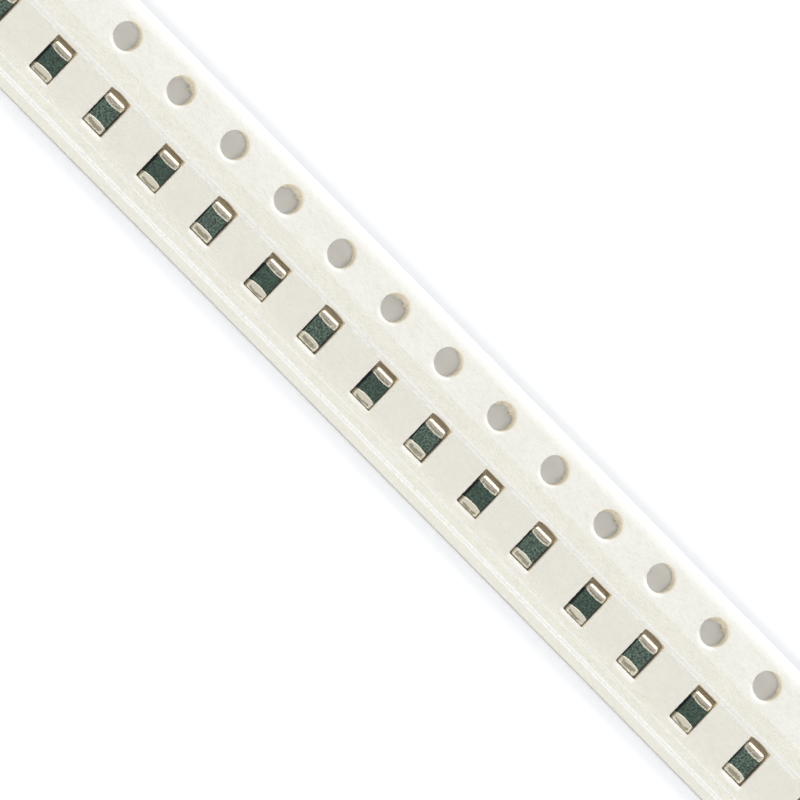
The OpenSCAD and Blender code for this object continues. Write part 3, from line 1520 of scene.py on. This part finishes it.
@dataclass
class Chips:
    """The chips in their pockets, of two batches that lie by turns."""

    layout: Layout
    grooves: Mapping[ChipEnd, tuple[Groove, Groove]] = field(
        default_factory=lambda: {
            ChipEnd.NEAR: (
                Groove(-0.115 * MM, 0.07 * MM, (0.10 * MM, 0.15 * MM), 0.085 * MM),
                Groove(-0.110 * MM, 0.12 * MM, (0.08 * MM, 0.14 * MM), 0.065 * MM),
            ),
            ChipEnd.FAR: (
                Groove(0.140 * MM, -0.11 * MM, (0.16 * MM, 0.06 * MM), 0.080 * MM),
                Groove(0.050 * MM, -0.06 * MM, (0.14 * MM, 0.12 * MM), 0.140 * MM),
            ),
        }
    )

    def build(self) -> None:
        """Builds every ceramic body and every terminal."""
        ceramics = (
            GreenCeramic("dark_ceramic", pale=(0.040, 0.081, 0.058)).material(),
            GreenCeramic("pale_ceramic", pale=(0.090, 0.140, 0.108)).material(),
        )
        # A darker copy of the ceramic without shine: painted shade for the chips' sides, which
        # stand in the narrow gaps.
        shaded = GreenCeramic(
            "shaded_ceramic", pale=(0.006, 0.011, 0.008), deep=(0.002, 0.004, 0.003), shine=0.0
        ).material()
        # Two copies of one tin: the far caps, which face away from the hole-side lamp, get a darker
        # and less metallic one as painted shade.
        lit_and_shaded_tins = {
            ChipEnd.NEAR: DullTin("near_tin", (0.815, 0.755, 0.635), metallic=1.0).material(),
            ChipEnd.FAR: DullTin("far_tin", (0.740, 0.695, 0.575), metallic=0.55).material(),
        }
        for number in range(1, self.layout.pockets + 1):
            batch = ceramics[self.layout.bowed(number)]
            CeramicBody(f"chip_{number:02d}_ceramic").build([batch, shaded])
            for end in ChipEnd:
                node = f"chip_{number:02d}_terminal_{end.name.lower()}"
                groove = self.grooves[end][self.layout.bowed(number)]
                Terminal(node, end, groove, seed=number * 3.7 + end.value).build(lit_and_shaded_tins[end])


def dress_node(name: str, material: bpy.types.Material) -> None:
    """Gives a CAD node one material.

    Args:
        name: The node's name.
        material: The material.
    """
    piece = bpy.data.objects[name]
    for slot in piece.material_slots:
        slot.material = material
    LOG.info("%s: dressed", name)


# ---- Studio ----


@dataclass(frozen=True)
class Lamp:
    """A round softbox that faces the strip.

    bearing is its direction over the floor in degrees from +X, height its angle above the
    floor, span its diameter and glow the radiance of its face.
    """

    name: str
    bearing: float
    height: float
    span: float
    glow: float
    distance: float = 0.6

    def build(self) -> None:
        """Hangs the lamp and turns it to the strip."""
        bearing, height = math.radians(self.bearing), math.radians(self.height)
        flat = math.cos(height)
        out = Vector((flat * math.cos(bearing), flat * math.sin(bearing), math.sin(height)))
        data = bpy.data.lights.new(self.name, "AREA")
        data.shape = "DISK"
        data.size = self.span
        data.energy = self.glow * (math.pi * self.span / 2) ** 2
        lamp = add_object(self.name, data)
        lamp.location = out * self.distance
        lamp.rotation_euler = (-out).to_track_quat("-Z", "Y").to_euler()


@dataclass
class Studio:
    """A pale floor in a light tent, with a brighter softbox on the sprocket-hole side."""

    floor_size: float = 6.0
    floor_drop: float = 0.01 * MM
    sky: float = 0.23
    lamps: tuple[Lamp, ...] = (
        Lamp("hole_side_lamp", bearing=90.0, height=36.0, span=0.60, glow=3.15),
        Lamp("far_side_lamp", bearing=-90.0, height=30.0, span=0.90, glow=2.15),
        Lamp("left_lamp", bearing=180.0, height=27.0, span=0.70, glow=1.80),
        Lamp("right_lamp", bearing=0.0, height=27.0, span=0.70, glow=1.80),
    )

    def build_floor(self) -> None:
        """Lays the floor just under the strip."""
        bm = bmesh.new()
        middle = Vector((0.0, 0.0, -self.floor_drop))
        rectangle(bm, middle, self.floor_size, self.floor_size)
        mesh = bpy.data.meshes.new("floor")
        bm.to_mesh(mesh)
        bm.free()
        mesh.materials.append(PaleFloor().material())
        add_object("floor", mesh)

    def build_sky(self) -> None:
        """Lights the scene evenly from all round."""
        world = bpy.data.worlds.new("studio_sky")
        world.use_nodes = True
        background = world.node_tree.nodes["Background"]
        background.inputs["Color"].default_value = (1.0, 1.0, 1.0, 1.0)
        background.inputs["Strength"].default_value = self.sky
        bpy.context.scene.world = world

    def build(self) -> None:
        """Builds the studio."""
        self.build_floor()
        self.build_sky()
        for lamp in self.lamps:
            lamp.build()
        settings = bpy.context.scene.view_settings
        settings.view_transform = "Standard"
        settings.look = "None"


@dataclass
class Viewpoint:
    """A long lens that looks down at the strip and leans towards its -X end.

    lean is the camera's angle from the vertical, swing how far it leans towards -Y instead
    of -X, and slope how steeply the strip runs down through the picture, all in degrees.
    """

    aim: tuple[float, float, float] = (-0.476 * MM, -0.800 * MM, 1.0 * MM)
    lean: float = 15.0
    swing: float = 30.0
    slope: float = 45.44
    frame_width: float = 41.03 * MM
    lens: float = 1500.0
    sensor: float = 36.0
    clip_ratio: float = 100.0

    def build(self) -> None:
        """Makes the camera."""
        lean, swing, slope = (math.radians(a) for a in (self.lean, self.swing, self.slope))
        back = Vector(
            (-math.sin(lean) * math.cos(swing), -math.sin(lean) * math.sin(swing), math.cos(lean))
        )
        along = Vector((1.0, 0.0, 0.0))
        along = (along - back * along.dot(back)).normalized()
        across = back.cross(along)
        right = along * math.cos(slope) + across * math.sin(slope)
        up = across * math.cos(slope) - along * math.sin(slope)
        distance = self.frame_width * self.lens / self.sensor
        place = Vector(self.aim) + back * distance
        data = bpy.data.cameras.new("viewpoint")
        data.lens = self.lens
        data.sensor_width = self.sensor
        data.clip_start = distance / self.clip_ratio
        data.clip_end = distance * self.clip_ratio
        camera = add_object("viewpoint", data)
        turn = Matrix((right, up, back)).transposed()
        camera.matrix_world = Matrix.Translation(place) @ turn.to_4x4()
        bpy.context.scene.camera = camera


def main() -> None:
    """Builds the strip's looks round the frame, then the studio and the camera."""
    logging.basicConfig(level=logging.INFO, format="%(name)s %(message)s")
    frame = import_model()
    layout = Layout.from_frame(frame["record"])
    Viewpoint().build()
    CardTape(layout).build()
    dress_node("bottom_cover_tape", BackingFilm().material())
    Chips(layout).build()
    TopCover(layout).build()
    Studio().build()


if __name__ == "__main__":
    main()
